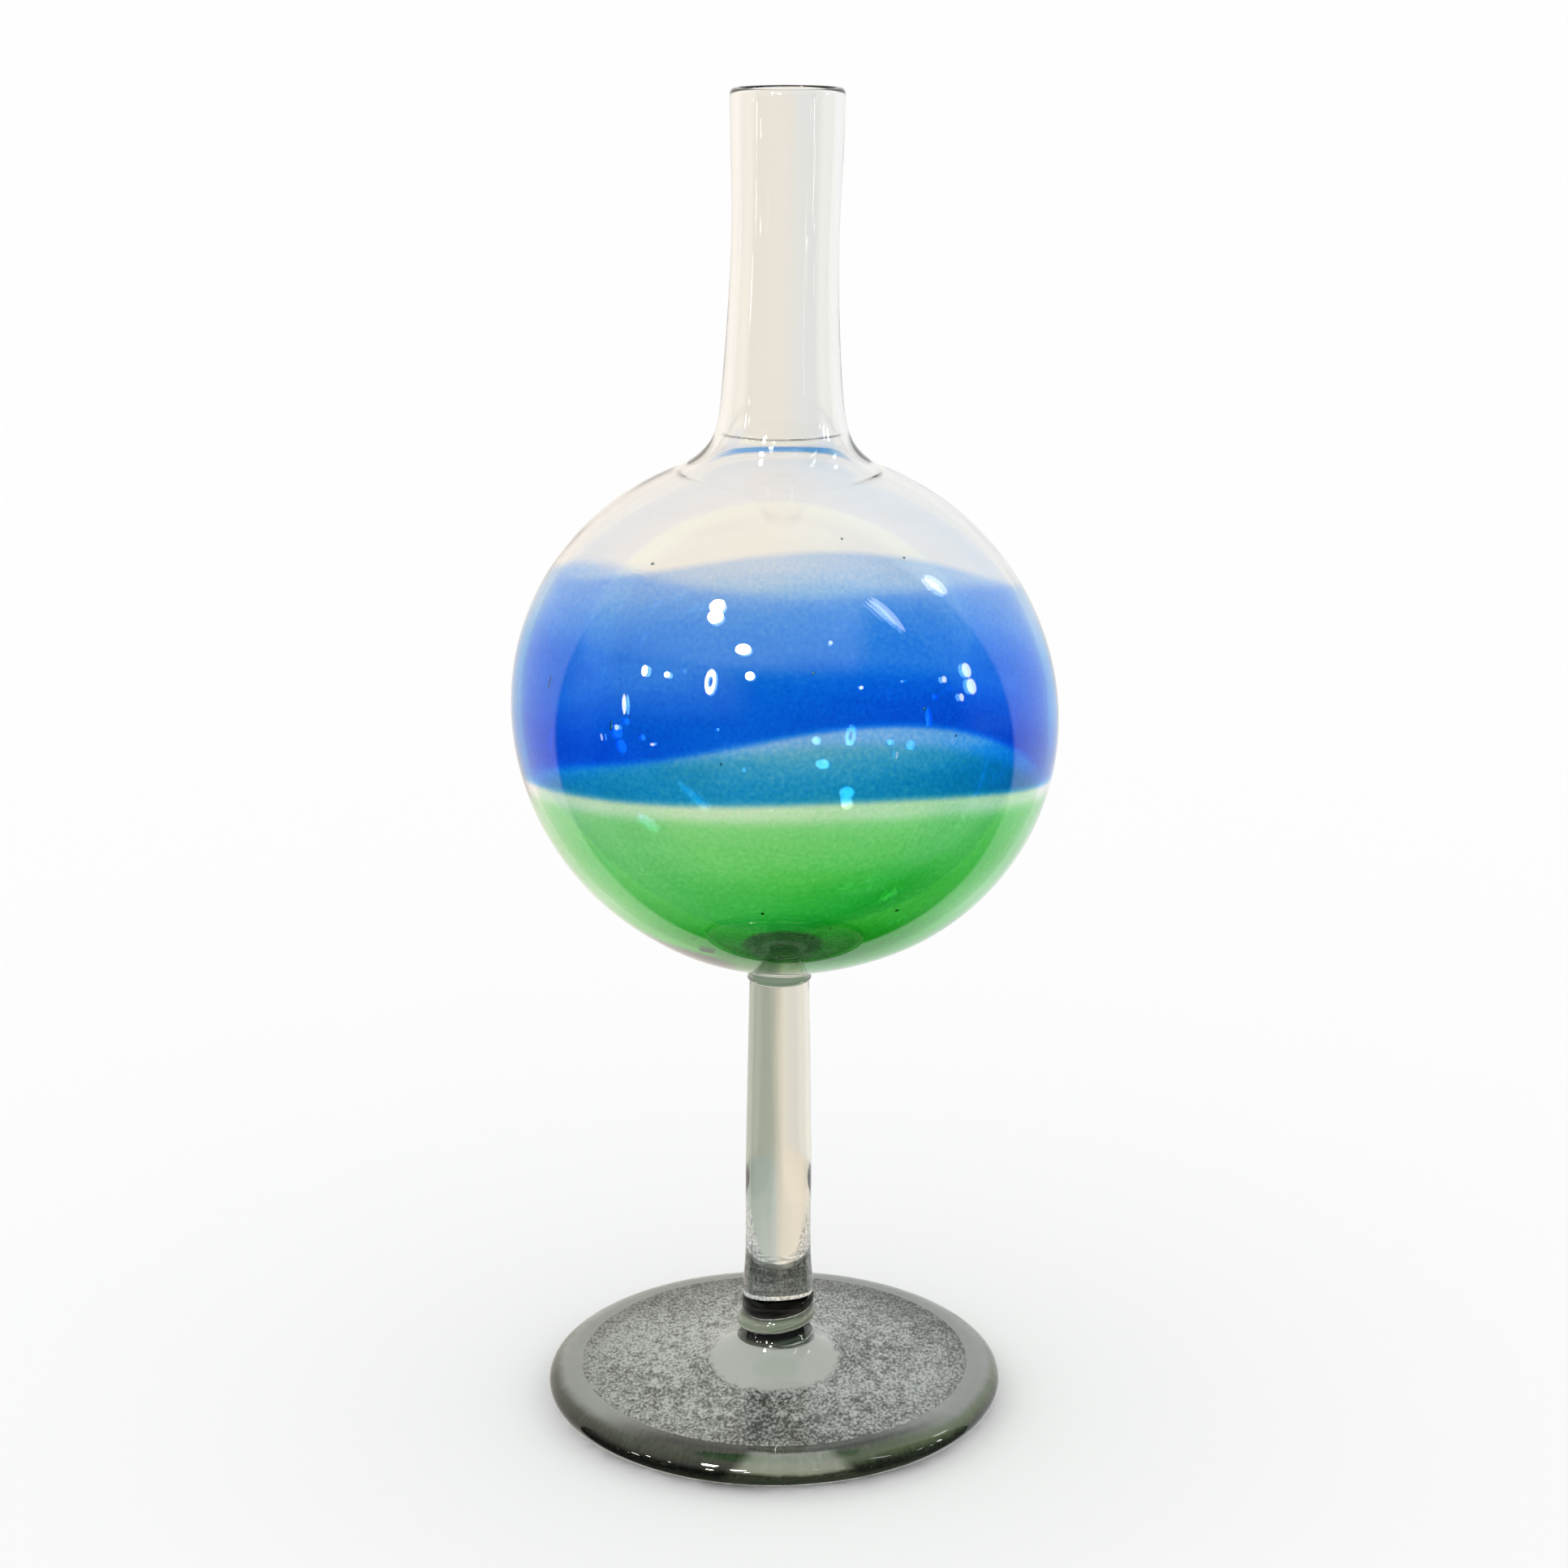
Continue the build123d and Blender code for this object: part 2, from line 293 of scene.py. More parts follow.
def build(name, node, rows, bands, closed=False, seeds=()):
    """A mesh from rings of points, with one strip of faces between each ring and the next.

    bands lists each material with the number of strips that it covers. closed joins the last ring to the
    first.
    """
    mesh = bmesh.new()
    blue = mesh.verts.layers.float.new("blue")
    green = mesh.verts.layers.float.new("green")
    grid = []
    for row in rows:
        grid.append([])
        for x, y, z in row:
            vertex = mesh.verts.new(placed(x, y, z))
            angle, height = atan2(y, x), z - BULB_CENTRE
            vertex[blue] = blue_amount(angle, height)
            vertex[green] = green_amount(angle, height, hypot(x, y))
            vertex[green] *= 1 + front_right_green(x, y, height)
            grid[-1].append(vertex)
    pairs = list(zip(grid, grid[1:]))
    if closed:
        pairs.append((grid[-1], grid[0]))
    materials = list(dict.fromkeys(material for material, count in bands))
    strips = [material for material, count in bands for step in range(count)]
    for (lower, upper), strip in zip(pairs, strips, strict=True):
        for step in range(SEGMENTS):
            after = (step + 1) % SEGMENTS
            corners = [lower[step % len(lower)], lower[after % len(lower)]]
            corners += [upper[after % len(upper)], upper[step % len(upper)]]
            face = mesh.faces.new(dict.fromkeys(corners))
            face.material_index = materials.index(strip)
            face.smooth = strip not in JOINTS
    bmesh.ops.recalc_face_normals(mesh, faces=mesh.faces)
    for edge in mesh.edges:
        edge.smooth = len({face.smooth for face in edge.link_faces}) == 1
    for place, size in seeds:
        add_seed(mesh, place, size)
    data = bpy.data.meshes.new(name)
    mesh.to_mesh(data)
    mesh.free()
    for material in materials:
        data.materials.append(material)
    piece = bpy.data.objects.new(name, data)
    bpy.context.scene.collection.objects.link(piece)
    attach(piece, "root")
    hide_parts(node)
    return piece

# Node helpers: each adds nodes to a tree and returns an output, and takes numbers or other nodes' outputs

def node_material(name):
    """A new material with one Principled shader. Returns the material, its nodes, links and shader."""
    material = bpy.data.materials.new(name)
    material.use_nodes = True
    tree = material.node_tree
    return material, tree.nodes, tree.links, tree.nodes["Principled BSDF"]


def math_node(nodes, links, operation, *values):
    node = nodes.new("ShaderNodeMath")
    node.operation = operation
    for socket, value in zip(node.inputs, values):
        if isinstance(value, (int, float)):
            socket.default_value = value
        else:
            links.new(value, socket)
    return node.outputs[0]


def vector_node(nodes, links, operation, *values):
    """A Vector Math node. Returns its number for the operations that give one, or else its vector."""
    node = nodes.new("ShaderNodeVectorMath")
    node.operation = operation
    for socket, value in zip(node.inputs, values):
        if isinstance(value, tuple):
            socket.default_value = value
        else:
            links.new(value, socket)
    gives_number = operation in ("DOT_PRODUCT", "DISTANCE", "LENGTH")
    return node.outputs["Value" if gives_number else "Vector"]


def ranged(nodes, links, value, start, end, low=0.0, high=1.0, ease="SMOOTHSTEP"):
    """Takes a value from one range to another, and holds it at both ends."""
    node = nodes.new("ShaderNodeMapRange")
    node.interpolation_type = ease
    for name, limit in (("From Min", start), ("From Max", end), ("To Min", low), ("To Max", high)):
        node.inputs[name].default_value = limit
    links.new(value, node.inputs["Value"])
    return node.outputs["Result"]


def mixed(nodes, links, share, first, second):
    """A blend of two colours."""
    node = nodes.new("ShaderNodeMix")
    node.data_type = "RGBA"
    links.new(share, node.inputs["Factor"])
    for name, colour in (("A", first), ("B", second)):
        if isinstance(colour, tuple):
            node.inputs[name].default_value = (*colour, 1)
        else:
            links.new(colour, node.inputs[name])
    return node.outputs["Result"]


def ramp_node(nodes, links, value, stops):
    """A colour ramp through (position, colour) stops."""
    ramp = nodes.new("ShaderNodeValToRGB")
    elements = ramp.color_ramp.elements
    for element, (position, colour) in zip(elements, (stops[0], stops[-1])):
        element.position = position
        element.color = (*colour, 1)
    for position, colour in stops[1:-1]:
        elements.new(position).color = (*colour, 1)
    links.new(value, ramp.inputs["Fac"])
    return ramp.outputs["Color"]


def object_place(nodes):
    """The shaded point in the object's own space, in metres."""
    return nodes.new("ShaderNodeTexCoord").outputs["Object"]


def apart(nodes, links, vector):
    """The X, Y and Z of a vector."""
    split = nodes.new("ShaderNodeSeparateXYZ")
    links.new(vector, split.inputs["Vector"])
    return [split.outputs[axis] for axis in "XYZ"]


def squareness(nodes, links):
    """1 where the surface is met head-on, 0 where it is met edge-on, negative from behind."""
    surface = nodes.new("ShaderNodeNewGeometry")
    return vector_node(nodes, links, "DOT_PRODUCT", surface.outputs["Incoming"], surface.outputs["Normal"])


def noise(nodes, links, scale, stretch, detail=2.0):
    """Noise over the object's own space, stretched along each axis."""
    mapping = nodes.new("ShaderNodeMapping")
    mapping.inputs["Scale"].default_value = stretch
    pattern = nodes.new("ShaderNodeTexNoise")
    pattern.inputs["Scale"].default_value = scale
    pattern.inputs["Detail"].default_value = detail
    links.new(object_place(nodes), mapping.inputs["Vector"])
    links.new(mapping.outputs["Vector"], pattern.inputs["Vector"])
    return pattern.outputs["Fac"]


def glass_shader(shader, transmission=1.0):
    """Polished glass. Below full transmission, part of the light takes the base colour as paint would."""
    shader.inputs["Transmission Weight"].default_value = transmission
    shader.inputs["Roughness"].default_value = 0.0
    shader.inputs["IOR"].default_value = GLASS_IOR


def glass_ripple(nodes, links, shader, scale, depth):
    """Very shallow unevenness of a fire-polished surface."""
    bump = nodes.new("ShaderNodeBump")
    bump.inputs["Strength"].default_value = 1.0
    bump.inputs["Distance"].default_value = depth
    links.new(noise(nodes, links, scale, (1, 1, 1)), bump.inputs["Height"])
    links.new(bump.outputs["Normal"], shader.inputs["Normal"])


# Materials. Colours are linear; colour stops are (position, colour) pairs

EVEN = (1, 1, 1)
CLEAR_TINT = (0.985, 0.975, 0.955)
# What one unit of blue takes from each of red, green and blue light, and how that changes as the blue deepens
BLUE_ABSORPTION = ((1.3, 1.2), (0.95, -0.1), (-0.06, 0.06))
GREEN_ABSORPTION = (0.80, 0.16, 0.76)
STEM_LEFT_GREY = (0.44, 0.49, 0.43)
STEM_CLEAR = (0.90, 0.85, 0.75)
# Specks in the stem's solid end: a painted refraction of the speckled underside seen through it.
STEM_SPECKS = ((0.36, (0.26, 0.27, 0.25)), (0.64, (0.94, 0.95, 0.92)))
# Specks of the underside: a painted refraction of a speckled grey table seen through the clear foot.
TABLE_SPECKS = ((0.40, (0.06, 0.07, 0.06)), (0.49, (0.50, 0.51, 0.50)), (0.58, (0.98, 0.99, 0.97)))
# Pale disc in the middle of the underside: a painted reflection of the bright room.
PALE_DISC = ((0.30, (0.90, 0.93, 0.88)), (0.55, (0.92, 0.94, 0.90)))
# Clearer grey on top of the foot's edge at the sides and rear: a painted refraction of the speckled
# underside.
FOOT_RIM = (0.34, 0.355, 0.33)
# Knop colours by height, bottom to top, all painted light and shade: near-black painted shade at its foot, a
# painted pale ring of light, greens, and darker again at the top.
KNOP_COLOURS = ((0.0, (0.01, 0.012, 0.01)), (0.2, (0.02, 0.025, 0.02)), (0.27, (0.72, 0.75, 0.66)))
KNOP_COLOURS += ((0.36, (0.55, 0.60, 0.46)), (0.45, (0.30, 0.35, 0.24)), (0.8, (0.36, 0.41, 0.30)))
KNOP_COLOURS += ((1.0, (0.12, 0.14, 0.10)),)
# Painted shade in the crease where the foot's flare meets the knop, near black towards the top.
CREASE_COLOURS = ((0.0, (0.10, 0.13, 0.09)), (0.12, (0.02, 0.028, 0.02)), (0.25, (0.06, 0.08, 0.055)))
CREASE_COLOURS += ((0.5, (0.008, 0.01, 0.009)), (1.0, (0.004, 0.005, 0.005)))
# Collar colours by height, from the stem up: painted pale light, then painted dark shade towards the bulb.
COLLAR_COLOURS = ((0.0, (0.95, 0.94, 0.86)), (0.66, (0.92, 0.92, 0.84)), (0.80, (0.10, 0.15, 0.08)))
COLLAR_COLOURS += ((1.0, (0.01, 0.05, 0.015)),)
# Lines round the foot's edge, from underneath to the top: partly the dark of thick green glass, partly
# painted shade and painted reflections from inside the rim.
EDGE_LINES = ((0.0, (0.07, 0.085, 0.05)), (0.2, (0.035, 0.045, 0.025)), (0.32, (0.006, 0.007, 0.006)))
EDGE_LINES += ((0.42, (0.015, 0.02, 0.012)), (0.56, (0.09, 0.115, 0.06)), (0.7, (0.06, 0.08, 0.045)))
EDGE_LINES += ((0.78, (0.008, 0.01, 0.007)), (0.86, (0.05, 0.065, 0.04)), (0.93, (0.004, 0.005, 0.004)))
EDGE_LINES += ((1.0, (0.12, 0.13, 0.11)),)
# The same with a pale patch at the front: a painted reflection.
EDGE_PATCH = ((0.0, (0.04, 0.05, 0.03)), (0.38, (0.035, 0.045, 0.025)), (0.44, (0.33, 0.36, 0.26)))
EDGE_PATCH += ((0.74, (0.36, 0.38, 0.33)), (0.79, (0.02, 0.028, 0.018)), (0.86, (0.06, 0.075, 0.05)))
EDGE_PATCH += ((0.93, (0.006, 0.008, 0.006)), (1.0, (0.12, 0.13, 0.11)))


def joint_material(name, tint):
    """A fused joint inside the glass: light passes straight through it, coloured by a tint."""
    material = bpy.data.materials.new(name)
    material.use_nodes = True
    nodes = material.node_tree.nodes
    nodes.clear()
    output = nodes.new("ShaderNodeOutputMaterial")
    clear = nodes.new("ShaderNodeBsdfTransparent")
    clear.inputs["Color"].default_value = (*tint, 1)
    material.node_tree.links.new(clear.outputs[0], output.inputs["Surface"])
    return material


def crease_material(name, tint, front=BULB_RADIUS):
    """A fused joint with a melted crease round it, darkened by painted shade: dark where it is seen edge-on,
    clear from above.

    front is how far back the crease runs, in millimetres.
    """
    material = joint_material(name, tint)
    nodes, links = material.node_tree.nodes, material.node_tree.links
    incoming = nodes.new("ShaderNodeNewGeometry").outputs["Incoming"]
    steepness = math_node(nodes, links, "ABSOLUTE", apart(nodes, links, incoming)[2])
    seen_from_above = ranged(nodes, links, steepness, 0.3, 0.5)
    depth = apart(nodes, links, object_place(nodes))[1]
    behind = ranged(nodes, links, depth, (front - 2) * MM, (front + 2) * MM, ease="LINEAR")
    clear = math_node(nodes, links, "MAXIMUM", seen_from_above, behind)
    links.new(mixed(nodes, links, clear, tint, (1, 1, 1)), nodes["Transparent BSDF"].inputs["Color"])
    return material


def wall_path(nodes, links):
    """How much longer the way through the wall is when it is crossed at a slant."""
    straight = squareness(nodes, links)
    square = math_node(nodes, links, "MULTIPLY", straight, straight)
    return math_node(nodes, links, "INVERSE_SQRT", math_node(nodes, links, "MULTIPLY_ADD", square, 0.6, 0.4))


def bulb_material():
    """Glass of the bulb's wall. Its colour follows how much blue and green the wall holds at each place."""
    material, nodes, links, shader = node_material("bulb_glass")
    glass_shader(shader)
    streaks = noise(nodes, links, 26, (1, 1, 6), 4)
    grain = noise(nodes, links, 1100, EVEN, 1)
    share = math_node(nodes, links, "MULTIPLY_ADD", streaks, 0.44, 0.38)
    share = math_node(nodes, links, "MULTIPLY_ADD", grain, 0.8, share)
    share = math_node(nodes, links, "MULTIPLY", share, wall_path(nodes, links))
    amounts = []
    for colour in ("blue", "green"):
        attribute = nodes.new("ShaderNodeAttribute")
        attribute.attribute_name = colour
        amounts.append(math_node(nodes, links, "MULTIPLY", attribute.outputs["Fac"], share))
    blue, green = amounts
    combine = nodes.new("ShaderNodeCombineColor")
    for channel in range(3):
        linear, square = BLUE_ABSORPTION[channel]
        rate = math_node(nodes, links, "MULTIPLY_ADD", blue, square, linear)
        from_blue = math_node(nodes, links, "MULTIPLY", blue, rate)
        both = math_node(nodes, links, "MULTIPLY_ADD", green, GREEN_ABSORPTION[channel], from_blue)
        passed = math_node(nodes, links, "EXPONENT", math_node(nodes, links, "MULTIPLY", both, -1.0))
        clear = math_node(nodes, links, "MULTIPLY_ADD", streaks, -0.09, CLEAR_TINT[channel] + 0.03)
        links.new(math_node(nodes, links, "MULTIPLY", passed, clear), combine.inputs[channel])
    links.new(combine.outputs["Color"], shader.inputs["Base Color"])
    glass_ripple(nodes, links, shader, 38, 0.00008)
    return material


def clear_material(name, thin, thick, ripple_depth=0.00002):
    """Clear glass with faint cords, between two near tints."""
    material, nodes, links, shader = node_material(name)
    glass_shader(shader)
    cords = noise(nodes, links, 60, (1, 1, 0.3), 3)
    links.new(mixed(nodes, links, cords, thin, thick), shader.inputs["Base Color"])
    glass_ripple(nodes, links, shader, 60, ripple_depth)
    return material


def bore_material():
    """Glass of the stem's bore. Near its point the bore melts into the solid end, and bends light less."""
    material = clear_material("stem_bore_glass", (1.0, 1.0, 0.99), (0.97, 0.975, 0.96))
    nodes, links = material.node_tree.nodes, material.node_tree.links
    height = apart(nodes, links, object_place(nodes))[2]
    melt_end = (BORE_POINT_TOP + BORE_MELT_LENGTH) * MM
    bending = ranged(nodes, links, height, BORE_POINT_TOP * MM, melt_end, 1.01, GLASS_IOR)
    links.new(bending, nodes["Principled BSDF"].inputs["IOR"])
    return material


def solid_end(nodes, links, height):
    """Where the stem is seen to be solid: beside and under the rounded point of its bore."""
    risen = ranged(nodes, links, height, BORE_END * MM, BORE_POINT_TOP * MM, ease="LINEAR")
    hollow = math_node(nodes, links, "POWER", risen, 0.7)
    edge = math_node(nodes, links, "SQRT", math_node(nodes, links, "MULTIPLY_ADD", hollow, -0.75, 1.0))
    facing = math_node(nodes, links, "ABSOLUTE", squareness(nodes, links))
    past = math_node(nodes, links, "SUBTRACT", math_node(nodes, links, "MULTIPLY", edge, 0.96), facing)
    beside = ranged(nodes, links, past, -0.03, 0.03)
    below = ranged(nodes, links, height, (BORE_POINT_TOP + 4) * MM, (BORE_POINT_TOP - 6) * MM)
    return math_node(nodes, links, "MULTIPLY", beside, below)


def stem_material():
    """Glass of the stem: drawn streaks, greyer down its left side, and specks in its solid end.

    The specks are a painted refraction of the speckled underside, seen through the solid end.
    """
    material, nodes, links, shader = node_material("stem_glass")
    glass_shader(shader)
    across, _, height = apart(nodes, links, object_place(nodes))
    streaks = noise(nodes, links, 420, (1, 1, 0.05), 3)
    across = math_node(nodes, links, "MULTIPLY_ADD", streaks, 4 * MM, across)
    right = ranged(nodes, links, across, -1.5 * MM, 2.5 * MM)
    drawn = mixed(nodes, links, right, STEM_LEFT_GREY, STEM_CLEAR)
    # Painted refraction: specks of the underside, seen through the solid end.
    specks = ramp_node(nodes, links, noise(nodes, links, 1500, EVEN, 2), STEM_SPECKS)
    colour = mixed(nodes, links, solid_end(nodes, links, height), drawn, specks)
    links.new(colour, shader.inputs["Base Color"])
    glass_ripple(nodes, links, shader, 60, 0.00003)
    return material


def from_axis(nodes, links):
    """Distance from the foot's axis, in metres."""
    flat = vector_node(nodes, links, "MULTIPLY_ADD", object_place(nodes), (1, 1, 0), (-FOOT_AXIS * MM, 0, 0))
    return vector_node(nodes, links, "LENGTH", flat)


def underside_material():
    """The foot's underside: a fine salt-and-pepper grey, with a smooth pale disc in the middle.

    The grey is a painted refraction of a speckled table seen through the clear foot, with painted shade
    towards the right and in a patch at the front. The pale disc is a painted reflection of the bright room.
    """
    material, nodes, links, shader = node_material("painted_table_underside")
    fine = noise(nodes, links, 1500, (1, 0.6, 1), 2)
    clump = noise(nodes, links, 420, (1, 0.7, 1), 2)
    cloud = noise(nodes, links, 45, EVEN, 2)
    place = object_place(nodes)
    across = apart(nodes, links, place)[0]
    grain = math_node(nodes, links, "MULTIPLY_ADD", clump, 0.5, fine)
    grain = math_node(nodes, links, "MULTIPLY_ADD", cloud, 0.4, grain)
    # Painted shade: darker towards the right, and in a patch near the front round dark_place.
    grain = math_node(nodes, links, "MULTIPLY_ADD", across, -0.9, grain)
    dark_place = (-2 * MM, -27 * MM, 0)
    from_dark = vector_node(nodes, links, "DISTANCE", place, dark_place)
    shade = ranged(nodes, links, from_dark, 22 * MM, 4 * MM, high=-0.08)
    grain = math_node(nodes, links, "ADD", grain, shade)
    specks = ramp_node(nodes, links, math_node(nodes, links, "DIVIDE", grain, 1.9), TABLE_SPECKS)
    # The pale disc is a painted reflection of the bright room.
    radius = math_node(nodes, links, "MULTIPLY_ADD", clump, 6 * MM, from_axis(nodes, links))
    disc = ramp_node(nodes, links, math_node(nodes, links, "MULTIPLY", radius, 0.05 / MM), PALE_DISC)
    outside = ranged(nodes, links, radius, (PALE_DISC_RADIUS - 1) * MM, (PALE_DISC_RADIUS + 1) * MM)
    links.new(mixed(nodes, links, outside, disc, specks), shader.inputs["Base Color"])
    shader.inputs["Roughness"].default_value = 0.75
    return material


def nose_turn(nodes, links, height):
    """Place on the foot's rounded nose, from about 0 underneath to 1 on top, made a little uneven."""
    flat_radius, middle = FOOT_RADIUS - FOOT_NOSE_REACH, FOOT_THICKNESS / 2
    patches = noise(nodes, links, 38, EVEN, 2)
    mottle = noise(nodes, links, 420, EVEN, 2)
    outwards = math_node(nodes, links, "ADD", from_axis(nodes, links), -flat_radius * MM)
    outwards = math_node(nodes, links, "DIVIDE", outwards, FOOT_NOSE_REACH * MM)
    upwards = math_node(nodes, links, "ADD", height, -middle * MM)
    upwards = math_node(nodes, links, "DIVIDE", upwards, middle * MM)
    turn = math_node(nodes, links, "ARCTAN2", upwards, outwards)
    turn = math_node(nodes, links, "MULTIPLY_ADD", turn, 1 / pi, 1 / 3)
    turn = math_node(nodes, links, "MULTIPLY_ADD", patches, 0.16, turn)
    turn = math_node(nodes, links, "MULTIPLY_ADD", mottle, 0.05, turn)
    return math_node(nodes, links, "ADD", turn, -0.1)


def edge_material():
    """The foot's rounded edge, where the glass is seen end-on: bottle green with nearly black lines round it.

    Its dark green and nearly black lines are partly the long way through the thick glass, and partly painted
    shade and painted reflections from inside the rim. Painted light makes it olive on the right, a painted
    reflection gives it a pale patch at the front, and on top at the sides and rear it is painted a clearer
    grey that stands in for the speckled underside seen through it.
    """
    material, nodes, links, shader = node_material("foot_edge")
    glass_shader(shader, 0.35)
    across, depth, height = apart(nodes, links, object_place(nodes))
    turn = nose_turn(nodes, links, height)
    lines = ramp_node(nodes, links, turn, EDGE_LINES)
    patch = ramp_node(nodes, links, turn, EDGE_PATCH)
    # Painted light: the edge is lighter towards the right.
    olive = ranged(nodes, links, across, -10 * MM, 30 * MM, 0.45, 1.5, ease="LINEAR")
    scaled = nodes.new("ShaderNodeVectorMath")
    scaled.operation = "SCALE"
    links.new(lines, scaled.inputs[0])
    links.new(olive, scaled.inputs["Scale"])
    # The pale patch at the front is a painted reflection.
    aside = math_node(nodes, links, "ABSOLUTE", math_node(nodes, links, "ADD", across, -1.5 * MM))
    aside = math_node(nodes, links, "MULTIPLY_ADD", turn, 12 * MM, aside)
    middle = ranged(nodes, links, aside, 19 * MM, 15 * MM)
    front = math_node(nodes, links, "LESS_THAN", depth, 0.0)
    patch_share = math_node(nodes, links, "MULTIPLY", middle, front)
    edge = mixed(nodes, links, patch_share, scaled.outputs["Vector"], patch)
    # The clearer grey on top at the sides and rear stands in for the speckled underside seen through it.
    inner = ranged(nodes, links, turn, 0.55, 0.72)
    beside = ranged(nodes, links, depth, -40 * MM, -24 * MM)
    rim_share = math_node(nodes, links, "MULTIPLY", inner, beside)
    links.new(mixed(nodes, links, rim_share, edge, FOOT_RIM), shader.inputs["Base Color"])
    glass_ripple(nodes, links, shader, 70, 0.0004)
    return material


def bead_material(name, share, low, high, stops, tilt=0.0):
    """Glass seen through a curved bead, painted by height between two levels with colours of painted light
    and shade.
    """
    material, nodes, links, shader = node_material(name)
    glass_shader(shader, share)
    across, _, height = apart(nodes, links, object_place(nodes))
    height = math_node(nodes, links, "MULTIPLY_ADD", across, -tilt, height)
    height = math_node(nodes, links, "MULTIPLY_ADD", noise(nodes, links, 260, EVEN, 2), 0.8 * MM, height)
    rise = ranged(nodes, links, height, (low + 0.4) * MM, (high + 0.4) * MM, ease="LINEAR")
    links.new(ramp_node(nodes, links, rise, stops), shader.inputs["Base Color"])
    return material


seam_glass = joint_material("fused_seam", (1, 1, 1))
dark_joint = joint_material("collar_joint", (0.10, 0.26, 0.10))
collar_floor = joint_material("collar_floor", (0.02, 0.14, 0.03))
# The dark of these two creases is painted shade.
knop_joint = crease_material("knop_joint", (0.07, 0.06, 0.06))
neck_joint = crease_material("neck_joint", (0.22, 0.22, 0.25), -6)
JOINTS = (seam_glass, dark_joint, collar_floor, knop_joint, neck_joint)
bulb_glass = bulb_material()
neck_glass = clear_material("neck_glass", (0.99, 0.98, 0.96), (0.96, 0.955, 0.94), 0.00004)
stem_glass = stem_material()
bore_glass = bore_material()
foot_glass = clear_material("foot_glass", (0.93, 0.95, 0.92), (0.87, 0.91, 0.87), 0.00003)
underside = underside_material()
foot_edge = edge_material()
# The knop, the foot's crease and the collar take painted light and shade by height.
knop_glass = bead_material("knop_glass", 0.5, KNOP_BOTTOM, KNOP_TOP, KNOP_COLOURS, KNOP_TILT)
crease_glass = bead_material("crease_glass", 0.2, CREASE_BOTTOM, KNOP_BOTTOM, CREASE_COLOURS, KNOP_TILT)
collar_glass = bead_material("collar_glass", 0.7, STEM_TOP, level("bulb_collar", 1), COLLAR_COLOURS)


# Bulb: the wall runs from the bottom pole to the neck's root, and the seams cut it into four rings

def wall_point(turn, angle, inset):
    """A point on the bulb's wall, at an elliptical turn from -90 (bottom) to 90 degrees (top)."""
    radius = (BULB_RADIUS - inset) * cos(turn)
    height = BULB_CENTRE + (BULB_HALF_HEIGHT - inset) * sin(turn)
    return (radius * cos(angle), radius * sin(angle), height)


def seam_turn(waves, angle):
    """Where a seam lies on the wall at an angle round the axis, as an elliptical turn."""
    height = seam_height(angle, **waves)
    mid = BULB_HALF_HEIGHT - BULB_WALL / 2
    return pi / 2 - acos(height / mid)


def wall_rows(low, high, inset, steps):
    """Rings of wall points from one limit to another. A limit is a turn, or a seam's waves."""
    rows = []
    for step in range(steps + 1):
        row = []
        for index in range(SEGMENTS):
            angle = 2 * pi * index / SEGMENTS
            start = seam_turn(low, angle) if isinstance(low, dict) else low
            end = seam_turn(high, angle) if isinstance(high, dict) else high
            row.append(wall_point(mix(start, end, step / steps), angle, inset))
        rows.append(row)
    return rows


def turned(curve):
    """Rings of points from a section curve."""
    return [ring(radius, height) for radius, height in curve]


def wall_band(name, node, low, high, steps, seeds=()):
    """A ring of the bulb's wall between two seams."""
    outer = wall_rows(low, high, 0, steps)
    inner = wall_rows(high, low, BULB_WALL, steps)
    bands = [(bulb_glass, steps), (seam_glass, 1), (bulb_glass, steps), (seam_glass, 1)]
    return build(name, node, outer + inner, bands, closed=True, seeds=seeds)


def green_cup():
    seat_turn = -acos(COLLAR_TOP_RADIUS / BULB_RADIUS)
    seat_steps, steps = 6, 90
    seat = wall_rows(-pi / 2, seat_turn, 0, seat_steps)
    seat[0] = ring(0, BULB_CENTRE - BULB_HALF_HEIGHT)
    outer = wall_rows(seat_turn, GREEN_TOP, 0, steps)
    inner = wall_rows(GREEN_TOP, -pi / 2, BULB_WALL, steps)
    inner[-1] = ring(0, BULB_CENTRE - BULB_HALF_HEIGHT + BULB_WALL)
    bands = [(dark_joint, seat_steps), (bulb_glass, steps), (seam_glass, 1), (bulb_glass, steps)]
    rows = seat + outer[1:] + inner
    return build("green_cup_glass", "green_cup", rows, bands, seeds=GREEN_SEEDS)


def slope(radius, inset=0.0):
    """How steeply the bulb's wall falls outwards at a radius from the axis."""
    flatness = (BULB_HALF_HEIGHT - inset) / (BULB_RADIUS - inset)
    height = (BULB_HALF_HEIGHT - inset) * sqrt(1 - (radius / (BULB_RADIUS - inset)) ** 2)
    return flatness**2 * radius / height


